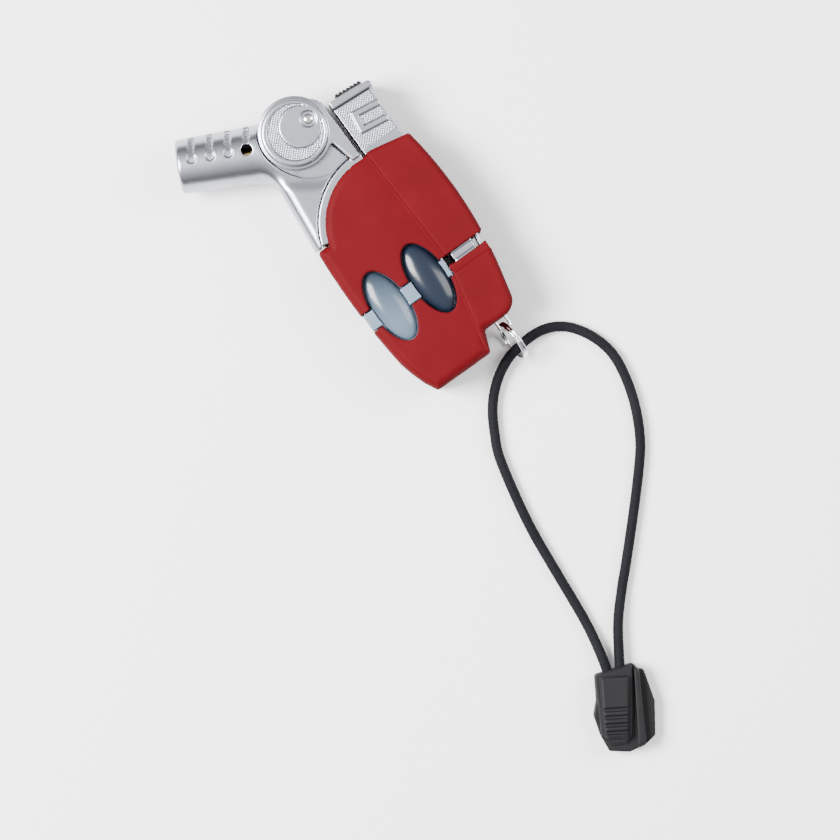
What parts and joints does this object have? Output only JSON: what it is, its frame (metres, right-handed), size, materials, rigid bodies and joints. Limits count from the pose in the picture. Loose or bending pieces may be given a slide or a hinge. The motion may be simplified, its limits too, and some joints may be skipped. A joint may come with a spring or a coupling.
{
  "type": "pocket jet torch",
  "caption": "Pocket butane jet torch with a flat two-part grip, fuel windows, pivoting burner head, side ignition button and elastic wrist lanyard.",
  "frame": {"origin": "on the flat back face of the handle, on the line from the closed end to the burner pivot, 50 mm below the pivot", "axes": "+Z out of the front face, +Y along the handle towards the burner head, +X towards the ignition button"},
  "size_m": [0.0749, 0.2191, 0.018],
  "materials": {
    "red_coat": "matte",
    "satin_metal": "satin",
    "bright_steel": "polished",
    "steel": "satin",
    "clear_smoke": "clear",
    "brass": "satin",
    "black_rubber": "matte",
    "black_plastic": "matte",
    "ivory_plastic": "matte",
    "ceramic": "matte",
    "cord_sheath": "matte"
  },
  "bodies": {
    "handle": {"upper_front_shell": "red_coat", "lower_front_shell": "red_coat", "upper_back_shell": "red_coat", "lower_back_shell": "red_coat", "front_chassis": "satin_metal", "back_chassis": "satin_metal", "front_tank_half": "clear_smoke", "back_tank_half": "clear_smoke", "fill_valve_body": "brass", "fill_valve_seal": "black_rubber", "fill_valve_spring": "steel", "outlet_valve_body": "brass", "outlet_valve_seal": "black_rubber", "outlet_valve_spring": "steel", "gas_pipe": "brass", "gas_union": "brass", "union_seals": "black_rubber", "lever_pin": "steel", "piezo_body": "black_plastic", "piezo_spring": "steel", "ignition_lead": "black_rubber", "contact_leaf": "brass", "case_screws": "steel", "pivot_screws": "bright_steel", "lanyard_lug": "bright_steel"},
    "burner_head": {"burner_housing": "satin_metal", "flame_tube": "steel", "flame_plate": "ceramic", "mixing_tube": "brass", "jet_nozzle": "brass", "feed_pipe": "brass", "electrode": "steel", "electrode_insulator": "ceramic", "slip_contact": "brass"},
    "button": {"ignition_button": "satin_metal", "button_cap": "satin_metal", "piezo_plunger": "ivory_plastic"},
    "safety_slide": {"lock_slide": "black_plastic"},
    "lever": {"valve_lever": "steel"},
    "outlet_stem": {"outlet_valve_stem": "steel"},
    "fill_stem": {"fill_valve_stem": "steel"},
    "adjuster": {"flame_adjuster": "brass"},
    "lanyard": {"split_ring": "bright_steel", "lanyard_cord": "cord_sheath", "clip_body": "black_plastic", "clip_tongue": "black_plastic"}
  },
  "joints": [
    {"name": "burner_tilt", "type": "hinge", "parent": "handle", "child": "burner_head", "pos_m": [0, 0.05, 0.009], "axis": [0, 0, -1], "range_deg": [0, 60]},
    {"name": "button_press", "type": "slide", "parent": "handle", "child": "button", "axis": [0, -1, 0], "range_m": [0, 0.0035], "stiffness_N_per_m": 1500, "springref_m": -0.001, "deforming": ["piezo_spring", "outlet_valve_spring"]},
    {"name": "lock_shift", "type": "slide", "parent": "button", "child": "safety_slide", "axis": [0.9965, -0.0834, 0], "range_m": [0, 0.002]},
    {"name": "lever_rock", "type": "hinge", "parent": "handle", "child": "lever", "pos_m": [-0.0005, 0.027, 0.009], "axis": [0, 0, -1], "range_deg": [0, 25]},
    {"name": "outlet_lift", "type": "slide", "parent": "handle", "child": "outlet_stem", "axis": [0, 1, 0], "range_m": [0, 0.0012]},
    {"name": "fill_press", "type": "slide", "parent": "handle", "child": "fill_stem", "axis": [0, 1, 0], "range_m": [0, 0.001], "stiffness_N_per_m": 300, "springref_m": -0.001, "deforming": ["fill_valve_spring"]},
    {"name": "flame_adjust", "type": "hinge", "parent": "handle", "child": "adjuster", "pos_m": [0, -0.03, 0.009], "axis": [0, -1, 0], "range_deg": [0, 270]},
    {"name": "lanyard_swing", "type": "hinge", "parent": "handle", "child": "lanyard", "pos_m": [0.0114, -0.0295, 0.009], "axis": [0, 0, 1], "range_deg": [-20, 20]}
  ],
  "couplings": [
    {"joint": "lever_rock", "follows": "button_press", "rad_per_m": 120},
    {"joint": "outlet_lift", "follows": "button_press", "ratio": 0.34}
  ]
}
